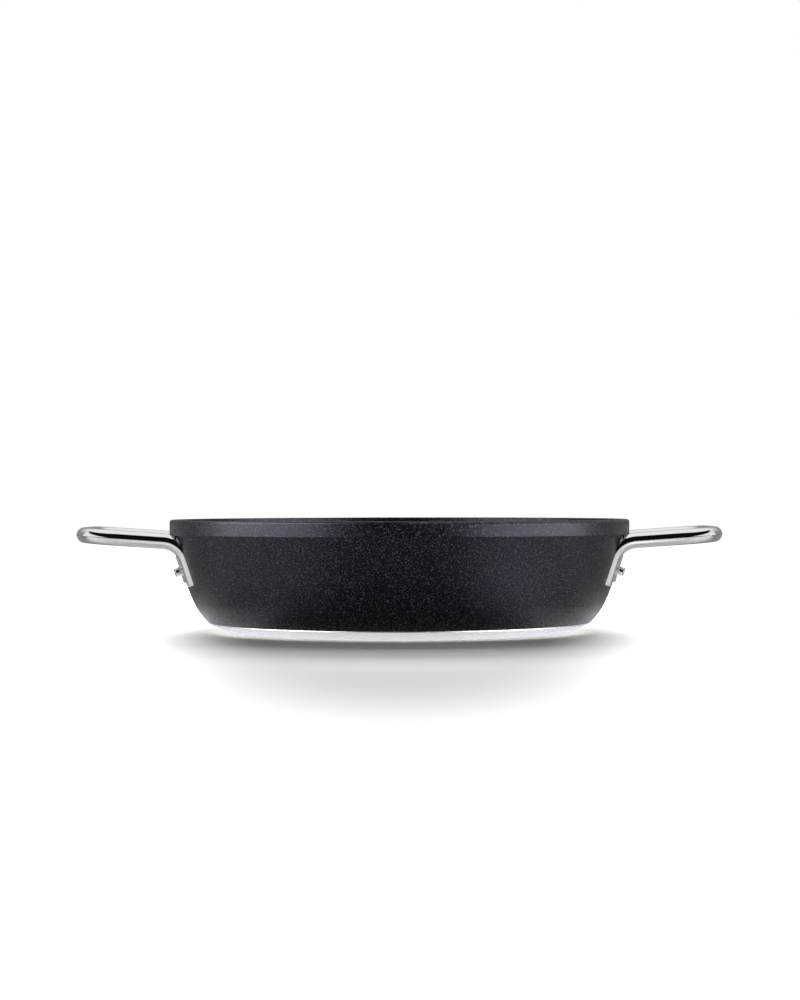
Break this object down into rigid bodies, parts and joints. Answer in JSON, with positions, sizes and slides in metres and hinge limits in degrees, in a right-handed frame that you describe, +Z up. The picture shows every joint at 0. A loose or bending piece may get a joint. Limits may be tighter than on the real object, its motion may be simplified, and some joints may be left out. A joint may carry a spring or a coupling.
{
  "type": "braiser",
  "caption": "Shallow round braising pan with a coated aluminium shell, pressed induction plate and riveted steel loop handles.",
  "frame": {"origin": "centre of the standing face of the base, on the pan's axis", "axes": "+X through the right handle, +Y to the back, +Z up out of the pan's mouth"},
  "size_m": [0.4, 0.288, 0.07],
  "materials": {
    "coated_aluminium": "near-black speckled non-stick coating, satin; bare turned metal on the foot's flank",
    "turned_steel": "turned in fine concentric lines",
    "polished_steel": "mirror polished stainless steel",
    "sheet_steel": "bright rolled stainless sheet",
    "rivet_steel": "satin stainless steel"
  },
  "bodies": {
    "root": {"pan_body": "coated_aluminium", "induction_plate": "turned_steel", "left_handle": "polished_steel", "right_handle": "polished_steel", "left_mounting_plate": "sheet_steel", "right_mounting_plate": "sheet_steel", "left_front_rivet": "rivet_steel", "left_rear_rivet": "rivet_steel", "right_front_rivet": "rivet_steel", "right_rear_rivet": "rivet_steel"}
  },
  "joints": []
}
